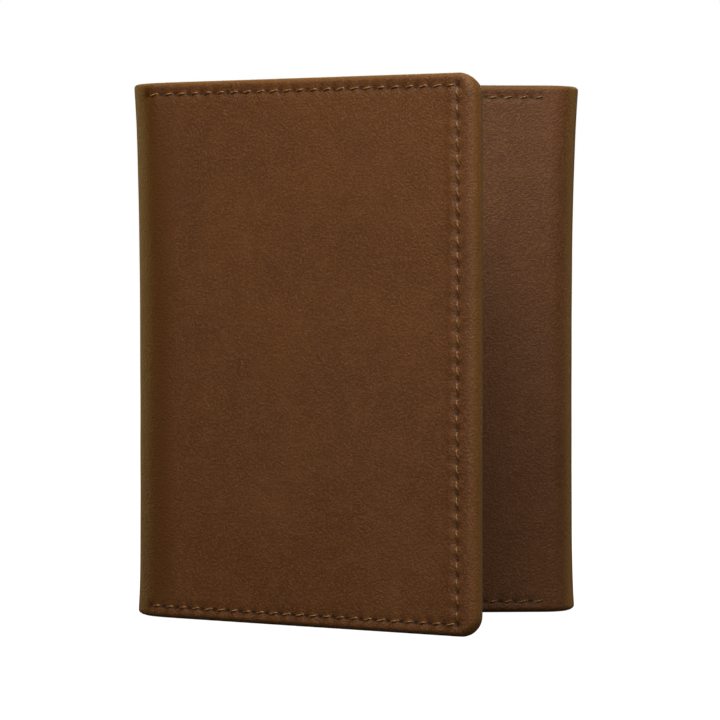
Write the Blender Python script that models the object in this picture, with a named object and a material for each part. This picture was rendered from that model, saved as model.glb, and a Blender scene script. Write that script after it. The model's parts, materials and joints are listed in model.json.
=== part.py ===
"""Trifold leather wallet, standing upright on its bottom edges with its front flap ajar.

Plan view, in millimetres: x runs right along the centre panel and q runs from the flat back
towards the front flap (world y = -q); z is the height. Every piece is drawn for the closed wallet and
hangs on an empty at its fold, and the two flaps' empties are then turned to the rest pose.
"""
from math import cos, pi, radians, sin

import bmesh
import bpy
from mathutils import Matrix, Vector

# ---- driving dimensions, in millimetres -------------------------------------------------------

MM = 0.001
HEIGHT = 108.0                  # along the folds, top edge to bottom edge
WIDTH = 88.5                    # over the two folds, wallet closed
THICKNESS = 19.0                # all three panels closed
FRONT_OPEN = 34.0               # degrees, front flap at rest
INNER_OPEN = 2.5                # degrees, inner flap at rest

CENTRE_THICK = 6.0              # centre panel with its card pockets
FLAP_THICK = 4.5                # front and inner flaps
SPINE_THICK = 3.6               # the narrow strip between the two left-hand creases
FLAP_CLEARANCE = 0.5            # closed inner flap to the centre panel
FRONT_LENGTH = 74.3             # front flap, fold to free edge
INNER_LENGTH = 60.0             # inner flap, fold to free edge
CREASE_R = 6.0                  # outer radius of the two left-hand creases, closed
CREASE_GAP = 0.3                # between a crease strip and the panels that it joins

LEATHER = 1.0
LINING = 0.25
LAYER_GAP = 0.1
HEM = 0.6                       # thickness of the turned top hem
HEM_DEPTH = 8.0                 # how far the top hem reaches down inside the bill compartment
LIP = 0.8                       # thickness of the hem turned over the inner face
CENTRE_LIP = 1.0
LIP_WIDTH = 6.0
WALL = 0.4                      # lined wall between the bills and the cards
WALL_DROP = 3.0                 # the wall stops this far below the top edge
EDGE_RADIUS = 4.0               # corners of the free edges
CORNER_SEGMENTS = 5
CREASE_STEPS = 10
CUT_OVER = 1.0                  # how far a cutter passes the block it hollows

STITCH_PITCH = 3.1
STITCH_LENGTH = 2.3             # the part of the pitch that lies on the surface
THREAD_R = 0.2
THREAD_TOP = 0.2                # the thread's middle below the leather's face, along a stitch
THREAD_DIP = 0.3                # and at each hole
GROOVE = 0.55                   # depth of the sunk stitch line
GROOVE_WIDTH = 0.9
ROW_INSET = 2.5                 # stitch rows, in from the top, bottom and free edges
SIDE_INSET = 3.4
ROW_END = 0.5                   # a row stops short of the end of its panel or of its corner

CARD_HEIGHT = 85.6              # a bank card stands upright in its pocket
POCKET_SHEET = 0.4
CENTRE_POCKET_SHEET = 0.6
POCKET_MOUTH = 6.0              # fold to the mouth of the first pocket
CENTRE_POCKET_END = 4.0         # centre pockets stop short of the right fold
CARD_ROOM = 6.0                 # pocket height beyond the card's, and the least drop from the top
POCKET_STEP = 8.0               # each pocket mouth stands back from the one behind it
POCKETS = 3
WINDOW_WIDTH = 40.0
WINDOW_HEIGHT = 66.0
FRAME_START = 2.0               # fold to window frame
FRAME_DROP = 8.0                # top edge to window frame
FILM = 0.2
FILM_MARGIN = 2.0               # the film is this much smaller than its frame, all round

# ---- places that follow from them --------------------------------------------------------------

HALF = WIDTH / 2
LEFT_START = -HALF + CREASE_R                       # where the flat of each panel starts
SPINE_END = THICKNESS - CREASE_R                    # the spine is straight from CREASE_R to here
INNER_OUTER = CENTRE_THICK + FLAP_CLEARANCE + FLAP_THICK
RIGHT_R = INNER_OUTER / 2                           # the right fold wraps centre and inner flap
RIGHT_START = HALF - RIGHT_R

# A leather strip that bends by 90 degrees keeps its length when it turns about this point.
HINGE_ALONG = CREASE_R * pi / 4
HINGE_INSIDE = CREASE_R * (1 - pi / 4)
BACK_HINGE = (-HALF + HINGE_INSIDE, CREASE_R - HINGE_ALONG)
FRONT_HINGE = (-HALF + HINGE_INSIDE, SPINE_END + HINGE_ALONG)
RIGHT_HINGE = (RIGHT_START + RIGHT_R * pi / 2, RIGHT_R)

BILL_WALL_AT = LEATHER + 1.5                        # outer face of the bill wall, flaps
CENTRE_BILL_WALL_AT = LEATHER + 2.2                 # the same on the thicker centre panel
SPINE_BILL_WALL_AT = LEATHER + 1.2                  # and on the spine


# ---- scene and small helpers ---------------------------------------------------------------------

def start_clean():
    for obj in list(bpy.data.objects):
        bpy.data.objects.remove(obj, do_unlink=True)
    parts = bpy.data.collections.new("trifold_wallet")
    cutters = bpy.data.collections.new("cutters")
    bpy.context.scene.collection.children.link(parts)
    bpy.context.scene.collection.children.link(cutters)
    return parts, cutters


PARTS, CUTTERS = start_clean()


def material(name, colour, roughness):
    mat = bpy.data.materials.new(name)
    mat.use_nodes = True
    shader = mat.node_tree.nodes["Principled BSDF"]
    shader.inputs["Base Color"].default_value = (*colour, 1.0)
    shader.inputs["Roughness"].default_value = roughness
    shader.inputs["Metallic"].default_value = 0.0
    return mat


def hinge_empty(name, at, parent):
    """An empty on a vertical fold axis; at is its plan position, parent another empty."""
    empty = bpy.data.objects.new(name, None)
    empty.empty_display_size = 10 * MM
    PARTS.objects.link(empty)
    empty["plan"] = at
    px, pq = parent["plan"] if parent else (0.0, 0.0)
    empty.parent = parent
    empty.location = ((at[0] - px) * MM, -(at[1] - pq) * MM, 0.0)
    return empty


class Panel:
    """A panel's own directions in plan: u along it from its fold, w in from its outer face."""

    def __init__(self, empty, corner, along, inward, length, thick):
        self.empty = empty
        self.corner = Vector(corner)
        self.along = Vector(along)
        self.inward = Vector(inward)
        self.length = length
        self.thick = thick

    def point(self, u, w, z):
        """World-oriented millimetres, measured from the panel's own empty."""
        plan = self.corner + self.along * u + self.inward * w
        hx, hq = self.empty["plan"]
        return Vector((plan.x - hx, -(plan.y - hq), z))

    def box(self, name, u, w, z, hidden=False):
        """A box over the ranges u, w and z; cutters are hidden."""
        low = self.point(u[0], w[0], z[0])
        high = self.point(u[1], w[1], z[1])
        size = [abs(b - a) * MM for a, b in zip(low, high)]
        mesh = bpy.data.meshes.new(name)
        bm = bmesh.new()
        bmesh.ops.create_cube(bm, size=1.0, matrix=Matrix.Diagonal((*size, 1.0)))
        bm.to_mesh(mesh)
        bm.free()
        obj = bpy.data.objects.new(name, mesh)
        obj.location = (low + high) / 2 * MM
        obj.parent = self.empty
        if hidden:
            obj.hide_render = True
            obj.display_type = "WIRE"
        (CUTTERS if hidden else PARTS).objects.link(obj)
        return obj


def cut(obj, cutter):
    mod = obj.modifiers.new("cut_" + cutter.name, "BOOLEAN")
    mod.operation = "DIFFERENCE"
    mod.solver = "EXACT"
    mod.object = cutter


def round_corners(obj, panel, corners, radius, segments):
    """Bevel the box edges that pass closest to the panel points in corners."""
    bm = bmesh.new()
    bm.from_mesh(obj.data)
    wanted = [panel.point(*corner) * MM - obj.location for corner in corners]
    edges = []
    for spot in wanted:
        edges.append(min(bm.edges, key=lambda e: ((e.verts[0].co + e.verts[1].co) / 2 - spot).length))
    bmesh.ops.bevel(bm, geom=edges, offset=radius * MM, segments=segments, affect="EDGES", profile=0.5)
    bm.to_mesh(obj.data)
    bm.free()


def finish(obj, mat):
    obj.data.materials.append(mat)
    return obj


# ---- leather ---------------------------------------------------------------------------------------

def leather_tray(name, panel, mat, free_edge, lip):
    """Outer leather with its turned edges: a block hollowed from the folds and the top.

    The bottom edge, and the free edge where there is one, turn in over all the layers. The top
    edge turns in over the lining only, so that the bill compartment stays open upwards.
    """
    end = panel.length
    body = panel.box(name, (0, end), (0, panel.thick), (0, HEIGHT))
    if free_edge:
        mid_w = panel.thick / 2
        round_corners(body, panel, [(end, mid_w, 0), (end, mid_w, HEIGHT)], EDGE_RADIUS, CORNER_SEGMENTS)
    inner_u = (-CUT_OVER, end - LEATHER if free_edge else end + CUT_OVER)
    lining_slot = LEATHER + LINING + 2 * LAYER_GAP
    hem_inside = lining_slot + HEM
    cuts = [
        ("bills", inner_u, (hem_inside, panel.thick - lip), (LEATHER, HEIGHT + CUT_OVER)),
        ("lining", inner_u, (LEATHER, hem_inside + CUT_OVER / 2), (LEATHER, HEIGHT - HEM_DEPTH)),
        ("hem", inner_u, (LEATHER, lining_slot), (LEATHER + CUT_OVER, HEIGHT - LEATHER)),
        ("face", (-CUT_OVER, end - LIP_WIDTH if free_edge else end + CUT_OVER),
         (panel.thick - lip - CUT_OVER / 4, panel.thick + CUT_OVER), (LIP_WIDTH, HEIGHT + CUT_OVER)),
    ]
    row_u = (-CUT_OVER, end - EDGE_RADIUS if free_edge else end + CUT_OVER)
    for label, z in (("row_top", HEIGHT - ROW_INSET), ("row_bottom", ROW_INSET)):
        cuts.append((label, row_u, (-CUT_OVER, GROOVE), (z - GROOVE_WIDTH / 2, z + GROOVE_WIDTH / 2)))
    if free_edge:
        u = end - SIDE_INSET
        cuts.append(("row_side", (u - GROOVE_WIDTH / 2, u + GROOVE_WIDTH / 2), (-CUT_OVER, GROOVE),
                     (EDGE_RADIUS, HEIGHT - EDGE_RADIUS)))
    for label, u, w, z in cuts:
        cut(body, panel.box(f"{name}_{label}", u, w, z, hidden=True))
    return finish(body, mat)


def crease_strip(name, empty, centre, radius, start, bend, mat):
    """A bent strip of leather: part of a ring in plan, standing full height.

    centre is in plan, start is the angle of its first end from +x towards +q, bend its sweep.
    """
    trim = CREASE_GAP / radius * (1 if bend > 0 else -1)
    part = (bend - 2 * trim) / CREASE_STEPS
    angles = [start + trim + part * i for i in range(CREASE_STEPS + 1)]
    ring = [(radius, a) for a in angles] + [(radius - LEATHER, a) for a in reversed(angles)]
    hx, hq = empty["plan"]
    curve = bpy.data.curves.new(name, "CURVE")
    curve.dimensions = "2D"
    curve.fill_mode = "BOTH"
    curve.extrude = HEIGHT / 2 * MM
    spline = curve.splines.new("POLY")
    spline.points.add(len(ring) - 1)
    for point, (r, a) in zip(spline.points, ring):
        x = centre[0] + r * cos(a) - hx
        q = centre[1] + r * sin(a) - hq
        point.co = (x * MM, -q * MM, 0.0, 1.0)
    spline.use_cyclic_u = True
    obj = bpy.data.objects.new(name, curve)
    obj.location = (0.0, 0.0, HEIGHT / 2 * MM)
    obj.parent = empty
    PARTS.objects.link(obj)
    return finish(obj, mat)


def bent_radius(start, hinge, closed_end, turned, bend):
    """Radius of the arc from start to where closed_end lies once its flap has turned."""
    moved = Vector(hinge) + Matrix.Rotation(radians(turned), 2) @ (Vector(closed_end) - Vector(hinge))
    return (moved - Vector(start)).length / (2 * sin(bend / 2))


# ---- inner layers ------------------------------------------------------------------------------------

def lining_sheet(name, panel, mat, free_edge):
    """The thin fabric behind the leather, held under the top hem."""
    end = panel.length - (LEATHER + LAYER_GAP if free_edge else 0.0)
    w = LEATHER + LAYER_GAP
    return finish(panel.box(name, (0, end), (w, w + LINING),
                            (LEATHER + LAYER_GAP, HEIGHT - LEATHER - LAYER_GAP)), mat)


def bill_wall(name, panel, at, mat, free_edge):
    """The inner wall of the bill compartment, a little lower than the leather behind it."""
    end = panel.length - (LEATHER + LAYER_GAP if free_edge else 0.0)
    return finish(panel.box(name, (0, end), (at, at + WALL), (LEATHER + LAYER_GAP, HEIGHT - WALL_DROP)), mat)


def card_pockets(prefix, panel, first_w, sheet, mouth, closed_end, mat):
    """Stepped pocket sheets for upright cards, their mouths towards the fold at the left."""
    low = LIP_WIDTH + LAYER_GAP
    high = min(low + CARD_HEIGHT + CARD_ROOM, HEIGHT - CARD_ROOM)
    for i in range(POCKETS):
        w = first_w + i * (sheet + LAYER_GAP)
        u = (mouth + i * POCKET_STEP, closed_end)
        pocket = panel.box(f"{prefix}_card_pocket_{i + 1}", u, (w, w + sheet), (low, high))
        finish(pocket, mat)


def id_window(panel, at, film_mat, frame_mat):
    """A clear film under a leather frame with a rectangular window."""
    low = LIP_WIDTH + LAYER_GAP
    high = HEIGHT - FRAME_DROP
    start = FRAME_START
    end = panel.length - LIP_WIDTH - LAYER_GAP
    film_w = (at, at + FILM)
    frame_w = (at + FILM + LAYER_GAP, panel.thick - LAYER_GAP)
    mid_u = (start + end) / 2
    mid_z = (low + high) / 2
    film = panel.box("id_window_film", (start + FILM_MARGIN, end - FILM_MARGIN), film_w,
                     (low + FILM_MARGIN, high - FILM_MARGIN))
    finish(film, film_mat)
    frame = panel.box("id_window_frame", (start, end), frame_w, (low, high))
    hole = panel.box("id_window_hole", (mid_u - WINDOW_WIDTH / 2, mid_u + WINDOW_WIDTH / 2),
                     (film_w[1] - CUT_OVER, panel.thick + CUT_OVER),
                     (mid_z - WINDOW_HEIGHT / 2, mid_z + WINDOW_HEIGHT / 2), hidden=True)
    cut(frame, hole)
    finish(frame, frame_mat)


# ---- seams -------------------------------------------------------------------------------------------

def seam(name, panel, start, stop, mat):
    """One continuous thread from start to stop, each a (u, z) point, lying in its sunk line.

    The thread lies flat for one stitch and dips into its hole before the next.
    """
    start = Vector(start)
    stop = Vector(stop)
    run = stop - start
    count = round(run.length / STITCH_PITCH)
    flat = STITCH_LENGTH / STITCH_PITCH
    route = []
    for i in range(count):
        for share, w in ((0.0, THREAD_DIP), ((1 - flat) / 2, THREAD_TOP), ((1 + flat) / 2, THREAD_TOP)):
            spot = start + run * ((i + share) / count)
            route.append(panel.point(spot.x, w, spot.y))
    route.append(panel.point(stop.x, THREAD_DIP, stop.y))
    curve = bpy.data.curves.new(name, "CURVE")
    curve.dimensions = "3D"
    curve.bevel_depth = THREAD_R * MM
    curve.bevel_resolution = 0
    curve.use_fill_caps = True
    spline = curve.splines.new("POLY")
    spline.points.add(len(route) - 1)
    for point, spot in zip(spline.points, route):
        point.co = (*((spot - route[0]) * MM), 1.0)
    obj = bpy.data.objects.new(name, curve)
    obj.location = route[0] * MM
    obj.parent = panel.empty
    PARTS.objects.link(obj)
    return finish(obj, mat)


def edge_seams(prefix, panel, mat, free_edge):
    """The seams that hold a panel's turned edges down."""
    end = panel.length - ROW_END - (EDGE_RADIUS if free_edge else 0.0)
    seam(f"{prefix}_top_seam", panel, (ROW_END, HEIGHT - ROW_INSET), (end, HEIGHT - ROW_INSET), mat)
    seam(f"{prefix}_bottom_seam", panel, (ROW_END, ROW_INSET), (end, ROW_INSET), mat)
    if free_edge:
        u = panel.length - SIDE_INSET
        seam(f"{prefix}_side_seam", panel, (u, EDGE_RADIUS + ROW_END),
             (u, HEIGHT - EDGE_RADIUS - ROW_END), mat)


# ---- the wallet ----------------------------------------------------------------------------------------

def build():
    brown = material("oiled_brown_leather", (0.105, 0.045, 0.019), 0.5)
    pocket_brown = material("pocket_leather", (0.090, 0.040, 0.018), 0.55)
    cloth = material("brown_twill_lining", (0.050, 0.028, 0.016), 0.9)
    thread = material("tan_polyester_thread", (0.220, 0.120, 0.055), 0.7)
    clear = material("clear_vinyl", (0.80, 0.80, 0.78), 0.15)

    centre_empty = hinge_empty("centre_origin", (0.0, 0.0), None)
    spine_empty = hinge_empty("spine_hinge", BACK_HINGE, centre_empty)
    front_empty = hinge_empty("front_flap_hinge", FRONT_HINGE, spine_empty)
    inner_empty = hinge_empty("inner_flap_hinge", RIGHT_HINGE, centre_empty)

    gap = CREASE_GAP / 2
    centre = Panel(centre_empty, (LEFT_START + gap, 0), (1, 0), (0, 1),
                   RIGHT_START - LEFT_START - 2 * gap, CENTRE_THICK)
    spine = Panel(spine_empty, (-HALF, CREASE_R + gap), (0, 1), (1, 0),
                  SPINE_END - CREASE_R - 2 * gap, SPINE_THICK)
    front = Panel(front_empty, (LEFT_START + gap, THICKNESS), (1, 0), (0, -1),
                  FRONT_LENGTH - gap, FLAP_THICK)
    inner = Panel(inner_empty, (RIGHT_START - gap, INNER_OUTER), (-1, 0), (0, -1),
                  INNER_LENGTH - gap, FLAP_THICK)

    for prefix, panel, wall_at, free_edge, lip in (
            ("centre", centre, CENTRE_BILL_WALL_AT, False, CENTRE_LIP),
            ("spine", spine, SPINE_BILL_WALL_AT, False, LIP),
            ("front_flap", front, BILL_WALL_AT, True, LIP),
            ("inner_flap", inner, BILL_WALL_AT, True, LIP)):
        leather_tray(f"{prefix}_leather", panel, brown, free_edge, lip)
        lining_sheet(f"{prefix}_lining", panel, cloth, free_edge)
        bill_wall(f"{prefix}_bill_wall", panel, wall_at, cloth, free_edge)
        if prefix != "spine":
            edge_seams(prefix, panel, thread, free_edge)

    card_pockets("centre", centre, CENTRE_BILL_WALL_AT + WALL + LAYER_GAP, CENTRE_POCKET_SHEET,
                 POCKET_MOUTH, centre.length - CENTRE_POCKET_END, pocket_brown)
    card_pockets("front_flap", front, BILL_WALL_AT + WALL + LAYER_GAP, POCKET_SHEET,
                 POCKET_MOUTH, front.length - LIP_WIDTH - LAYER_GAP, pocket_brown)
    id_window(inner, BILL_WALL_AT + WALL + LAYER_GAP, clear, pocket_brown)

    # The two left-hand creases and the right fold, each a bent strip of the outer leather.
    crease_strip("back_crease_leather", centre_empty, (LEFT_START, CREASE_R), CREASE_R, -pi / 2, -pi / 2,
                 brown)
    bend = radians(90 - FRONT_OPEN)
    radius = bent_radius((-HALF, SPINE_END), FRONT_HINGE, (LEFT_START, THICKNESS), FRONT_OPEN, bend)
    crease_strip("front_crease_leather", spine_empty, (-HALF + radius, SPINE_END), radius, pi, -bend,
                 brown)
    bend = radians(180 - INNER_OPEN)
    radius = bent_radius((RIGHT_START, 0), RIGHT_HINGE, (RIGHT_START, INNER_OUTER), -INNER_OPEN, bend)
    crease_strip("right_fold_leather", centre_empty, (RIGHT_START, radius), radius, -pi / 2, bend, brown)

    # Rest pose.
    front_empty.rotation_euler.z = -radians(FRONT_OPEN)
    inner_empty.rotation_euler.z = radians(INNER_OPEN)
    centre_on_footprint(centre_empty)


def centre_on_footprint(root):
    """Move the root so that the origin is the middle of the footprint."""
    bpy.context.view_layer.update()
    corners = []
    for obj in PARTS.objects:
        if obj.type != "EMPTY":
            corners += [obj.matrix_world @ Vector(corner) for corner in obj.bound_box]
    mid_x = (min(c.x for c in corners) + max(c.x for c in corners)) / 2
    mid_y = (min(c.y for c in corners) + max(c.y for c in corners)) / 2
    root.location.x -= mid_x
    root.location.y -= mid_y
    bpy.context.view_layer.update()


build()
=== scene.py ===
# %% [markdown]
# # A trifold wallet in smooth brown leather
# The hard facts, sizes and hinges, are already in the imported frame. This file makes the looks: the
# leather shell with its turned edges, the seams, the linings, the card pockets and the window.
# Everything is in metres, with +Z up, in the frame's own coordinates.

# %% Load the frame
import json
import math

import bpy
import numpy as np
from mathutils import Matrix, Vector, noise


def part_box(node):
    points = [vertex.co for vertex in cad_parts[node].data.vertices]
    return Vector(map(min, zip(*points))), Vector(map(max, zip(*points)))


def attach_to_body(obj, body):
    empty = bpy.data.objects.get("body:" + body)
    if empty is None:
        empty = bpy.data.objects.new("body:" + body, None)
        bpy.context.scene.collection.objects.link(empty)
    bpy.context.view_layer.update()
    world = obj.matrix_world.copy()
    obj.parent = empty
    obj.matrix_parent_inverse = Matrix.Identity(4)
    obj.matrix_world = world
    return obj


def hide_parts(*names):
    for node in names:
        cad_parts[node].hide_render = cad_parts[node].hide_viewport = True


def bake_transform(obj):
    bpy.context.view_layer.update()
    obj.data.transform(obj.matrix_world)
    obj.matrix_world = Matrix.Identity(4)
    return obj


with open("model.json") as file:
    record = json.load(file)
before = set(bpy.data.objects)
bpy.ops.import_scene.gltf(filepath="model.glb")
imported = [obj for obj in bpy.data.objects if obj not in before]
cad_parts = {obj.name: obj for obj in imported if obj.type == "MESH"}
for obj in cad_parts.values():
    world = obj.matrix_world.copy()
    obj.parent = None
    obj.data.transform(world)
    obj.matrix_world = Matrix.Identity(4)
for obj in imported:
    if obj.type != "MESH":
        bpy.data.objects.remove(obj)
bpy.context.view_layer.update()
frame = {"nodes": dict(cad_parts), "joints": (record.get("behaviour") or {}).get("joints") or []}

MM = 0.001

# %% [markdown]
# ## Where the panels lie
# A trifold wallet is one strip of leather. Seen from above it runs from the inner flap's free edge,
# round the right fold, along the flat back, round the narrow spine and out to the front flap's free
# edge. Every plan size is read from the frame's panels and hinges, so the leather can't drift from it.

# %% Read the plan sizes
def plan(point):
    return np.array([point[0], point[1]], float)


def turned(point, about, degrees):
    a = math.radians(degrees)
    dx, dy = point[0] - about[0], point[1] - about[1]
    return np.array([about[0] + dx * math.cos(a) - dy * math.sin(a),
                     about[1] + dx * math.sin(a) + dy * math.cos(a)])


hinges = {j["name"]: j for j in frame["joints"]}
back_low, back_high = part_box("centre_leather")
spine_low, spine_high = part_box("spine_leather")
BODY_GAP = 0.15 * MM                        # each panel stops this far short of its crease
HEIGHT = back_high.z
BACK_Y = back_high.y
LEFT_X = spine_low.x
FLAT_LEFT = back_low.x - BODY_GAP
FLAT_RIGHT = back_high.x + BODY_GAP
SPINE_MID_Y = (spine_low.y + spine_high.y) / 2
CREASE_R = FLAT_LEFT - LEFT_X
FRONT_Y = spine_low.y - BODY_GAP - CREASE_R          # outer face of the closed front flap
front_pivot = plan(hinges["front_crease"]["pos_m"])
right_pivot = plan(hinges["right_fold"]["pos_m"])
INNER_Y = 2 * right_pivot[1] - BACK_Y                # outer face of the closed inner flap
FRONT_ANGLE = hinges["front_crease"]["range_deg"][0]       # degrees, turned from closed to rest
INNER_ANGLE = -hinges["right_fold"]["range_deg"][0]
print("height", round(HEIGHT / MM, 1), "mm, front flap open", -FRONT_ANGLE, "degrees")


def closed_box(node, pivot, degrees):
    """A panel's node, turned back to the closed wallet: its lowest and highest corner."""
    co = np.array([v.co for v in frame["nodes"][node].data.vertices], float)
    flat = np.array([[*turned(p, pivot, -degrees), p[2]] for p in co])
    return flat.min(0), flat.max(0)


front_closed = closed_box("front_flap_leather", front_pivot, FRONT_ANGLE)
inner_closed = closed_box("inner_flap_leather", right_pivot, INNER_ANGLE)
FRONT_END = turned((front_closed[1][0], FRONT_Y), front_pivot, FRONT_ANGLE)
INNER_END = turned((inner_closed[0][0], INNER_Y), right_pivot, INNER_ANGLE)

# %% [markdown]
# ## The line of the leather in plan
# Real leather doesn't bend in a perfect arc: the curve eases in and out of each crease. A soft corner
# turns by a given angle over a given length, slowly at its ends. Placing it needs one number, its
# reach: how far from the meeting point of the two straight sides the bend begins.

# %% A plan line with soft corners
def eased(t, roundness):
    """Share of a bend turned by t, from a plain arc (1) to the softest ease (0)."""
    return roundness * t + (1 - roundness) * (t - np.sin(2 * np.pi * t) / (2 * np.pi))


def reach(turn, length, roundness):
    t = (np.arange(2000) + 0.5) / 2000
    heading = turn * eased(t, roundness)
    chord = math.hypot(np.cos(heading).mean() * length, np.sin(heading).mean() * length)
    return chord / (2 * math.cos(turn / 2))


def crossing(p, p_heading, q, q_heading):
    d, e = [np.array([math.cos(h), math.sin(h)]) for h in (p_heading, q_heading)]
    t, _ = np.linalg.solve(np.array([d, -e]).T, q - p)
    return p + d * t


inner_heading = math.radians(INNER_ANGLE)
front_heading = 1.5 * math.pi + math.radians(90 + FRONT_ANGLE)
corner_right = crossing(INNER_END, inner_heading, np.array([0, BACK_Y]), math.pi)
corner_back = np.array([LEFT_X, BACK_Y])
corner_front = crossing(np.array([LEFT_X, 0]), 1.5 * math.pi, FRONT_END, front_heading)

RIGHT_TURN = math.pi - inner_heading
FRONT_TURN = math.radians(90 + FRONT_ANGLE)
RIGHT_ROUND = 1.0
right_reach = np.linalg.norm(corner_right - np.array([FLAT_RIGHT, BACK_Y]))
right_length = right_reach / reach(RIGHT_TURN, 1.0, RIGHT_ROUND)
BACK_LENGTH = 13.0 * MM
FRONT_LENGTH = 15.0 * MM
LEFT_ROUND = 0.3
back_reach = reach(math.pi / 2, BACK_LENGTH, LEFT_ROUND)
front_reach = reach(FRONT_TURN, FRONT_LENGTH, LEFT_ROUND)

runs = [                                              # (length, turn, roundness)
    (np.linalg.norm(corner_right - INNER_END) - right_reach, 0.0, 1.0),
    (right_length, RIGHT_TURN, RIGHT_ROUND),
    (np.linalg.norm(corner_back - corner_right) - right_reach - back_reach, 0.0, 1.0),
    (BACK_LENGTH, math.pi / 2, LEFT_ROUND),
    (np.linalg.norm(corner_front - corner_back) - back_reach - front_reach, 0.0, 1.0),
    (FRONT_LENGTH, FRONT_TURN, LEFT_ROUND),
    (np.linalg.norm(FRONT_END - corner_front) - front_reach, 0.0, 1.0),
]
# At the right fold the corner lies to the right of both flats, so its reach is subtracted there too.
stops = np.concatenate([[0.0], np.cumsum([r[0] for r in runs])])
TOTAL = stops[-1]
line_s = np.linspace(0, TOTAL, 8001)
line_heading = np.full_like(line_s, inner_heading)
for (length, turn, roundness), begin in zip(runs, stops):
    line_heading += turn * eased(np.clip((line_s - begin) / length, 0, 1), roundness)
step = line_s[1] - line_s[0]
mid_heading = (line_heading[1:] + line_heading[:-1]) / 2
line_x = INNER_END[0] + np.concatenate([[0.0], np.cumsum(np.cos(mid_heading) * step)])
line_y = INNER_END[1] + np.concatenate([[0.0], np.cumsum(np.sin(mid_heading) * step)])
print("leather is", round(TOTAL / MM, 1), "mm long; its end misses the flap's by",
      round(math.hypot(line_x[-1] - FRONT_END[0], line_y[-1] - FRONT_END[1]) / MM, 2), "mm")

# Where the strip is divided, so that each piece bends over one hinge at most.
FLAT_STUB = 1.0 * MM
S_FOLD = stops[1] - FLAT_STUB
S_BACK = stops[2] + FLAT_STUB
S_SPINE = float(np.interp(-SPINE_MID_Y, -line_y[line_s > stops[3]], line_s[line_s > stops[3]]))
print("cuts at", [round(s / MM, 1) for s in (S_FOLD, S_BACK, S_SPINE)])


def on_line(s):
    """Plan position and outward direction at distance s; straight on past either end."""
    s = np.asarray(s, float)
    c = np.clip(s, 0, TOTAL)
    h = np.interp(c, line_s, line_heading)
    x = np.interp(c, line_s, line_x) + (s - c) * np.cos(h)
    y = np.interp(c, line_s, line_y) + (s - c) * np.sin(h)
    return x, y, np.sin(h), -np.cos(h)


BEND_SPREAD = 0.3875                                  # how far a bend's flare reaches, over its length


def bend_share(s):
    """1 in the middle of a fold, 0 on the flats."""
    share = np.zeros_like(np.asarray(s, float))
    for (length, turn, _), begin in zip(runs, stops):
        if turn:
            t = (s - begin - length / 2) / (length * BEND_SPREAD)
            share = np.maximum(share, np.exp(-t ** 4))
    return share

# %% [markdown]
# ## Helpers for shader nodes
# The room's light and every finish are made of the same few kinds of node. Colours are written as
# they look on a screen, in hex, and one function turns them to linear light.

# %% Small helpers for nodes
def linear(hex_colour):
    channels = [int(hex_colour[i:i + 2], 16) / 255 for i in (1, 3, 5)]
    return (*[c / 12.92 if c <= 0.04045 else ((c + 0.055) / 1.055) ** 2.4 for c in channels], 1.0)


def add_node(tree, kind, links=(), **settings):
    """Add a node, set its attributes or its inputs by name, and link (socket, input) pairs."""
    node = tree.nodes.new(kind)
    for name, value in settings.items():
        if hasattr(node, name):
            setattr(node, name, value)
        else:
            node.inputs[name.replace("_", " ")].default_value = value
    for source, target in links:
        tree.links.new(source, node.inputs[target])
    return node


def over(tree, share, under, hex_colour):
    """A colour socket: hex_colour laid over under, which is a socket or another hex colour."""
    node = add_node(tree, "ShaderNodeMix", [(share, 0)], data_type="RGBA")
    if isinstance(under, str):
        node.inputs[6].default_value = linear(under)
    else:
        tree.links.new(under, node.inputs[6])
    node.inputs[7].default_value = linear(hex_colour)
    return node.outputs[2]


def times(tree, socket, factor, **settings):
    node = add_node(tree, "ShaderNodeMath", [(socket, 0)], operation="MULTIPLY", **settings)
    node.inputs[1].default_value = factor
    return node.outputs[0]

# %% [markdown]
# ## Camera, light and floor
# The wallet is seen almost level, from about three quarters of a metre, through a long lens, so that
# its uprights stay upright. The eye sees a white room. The leather sees a dim one, brightest above and
# in front, with a large soft box above, two warm boxes behind that light the rims, and one at the back.
# Together they give smooth leather its broad, dull sheen near the top.

# %% Camera
scene = bpy.context.scene
scene.view_settings.view_transform = "Standard"
CAMERA_PLACE = (-10.1 * MM, -722.0 * MM, 71.1 * MM)
TILT_DOWN = 1.484                                 # degrees
TURN_RIGHT = 0.826
camera_data = bpy.data.cameras.new("camera")
camera_data.sensor_width = 36.0                   # mm, as is the lens
camera_data.lens = 181.6
camera = bpy.data.objects.new("camera", camera_data)
scene.collection.objects.link(camera)
camera.location = CAMERA_PLACE
camera.rotation_euler = (math.radians(90 - TILT_DOWN), 0, math.radians(-TURN_RIGHT))
scene.camera = camera
print("lens", round(camera_data.lens), "mm")

# %% Light and floor
ROOM_DARK = 0.01
ROOM_LIGHT = 0.50
ROOM_BRIGHTEST = (0.25, -0.35, 0.90)                       # direction, above and in front
world = bpy.data.worlds.new("white_room")
scene.world = world
world.use_nodes = True
room = world.node_tree
background = room.nodes["Background"]
background.inputs["Strength"].default_value = 1.0
ray = add_node(room, "ShaderNodeLightPath")
direction = add_node(room, "ShaderNodeTexCoord")
facing = add_node(room, "ShaderNodeVectorMath", [(direction.outputs["Generated"], 0)],
                  operation="DOT_PRODUCT")
facing.inputs[1].default_value = ROOM_BRIGHTEST
fade = add_node(room, "ShaderNodeMapRange", [(facing.outputs["Value"], "Value")],
                From_Min=0.22, From_Max=1.0, To_Min=ROOM_DARK, To_Max=ROOM_LIGHT)
room_tone = add_node(room, "ShaderNodeMix", [(ray.outputs["Is Camera Ray"], 0),
                                             (fade.outputs["Result"], 6)], data_type="RGBA")
room_tone.inputs[7].default_value = (1, 1, 1, 1)           # white to the eye
room.links.new(room_tone.outputs[2], background.inputs["Color"])


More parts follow.
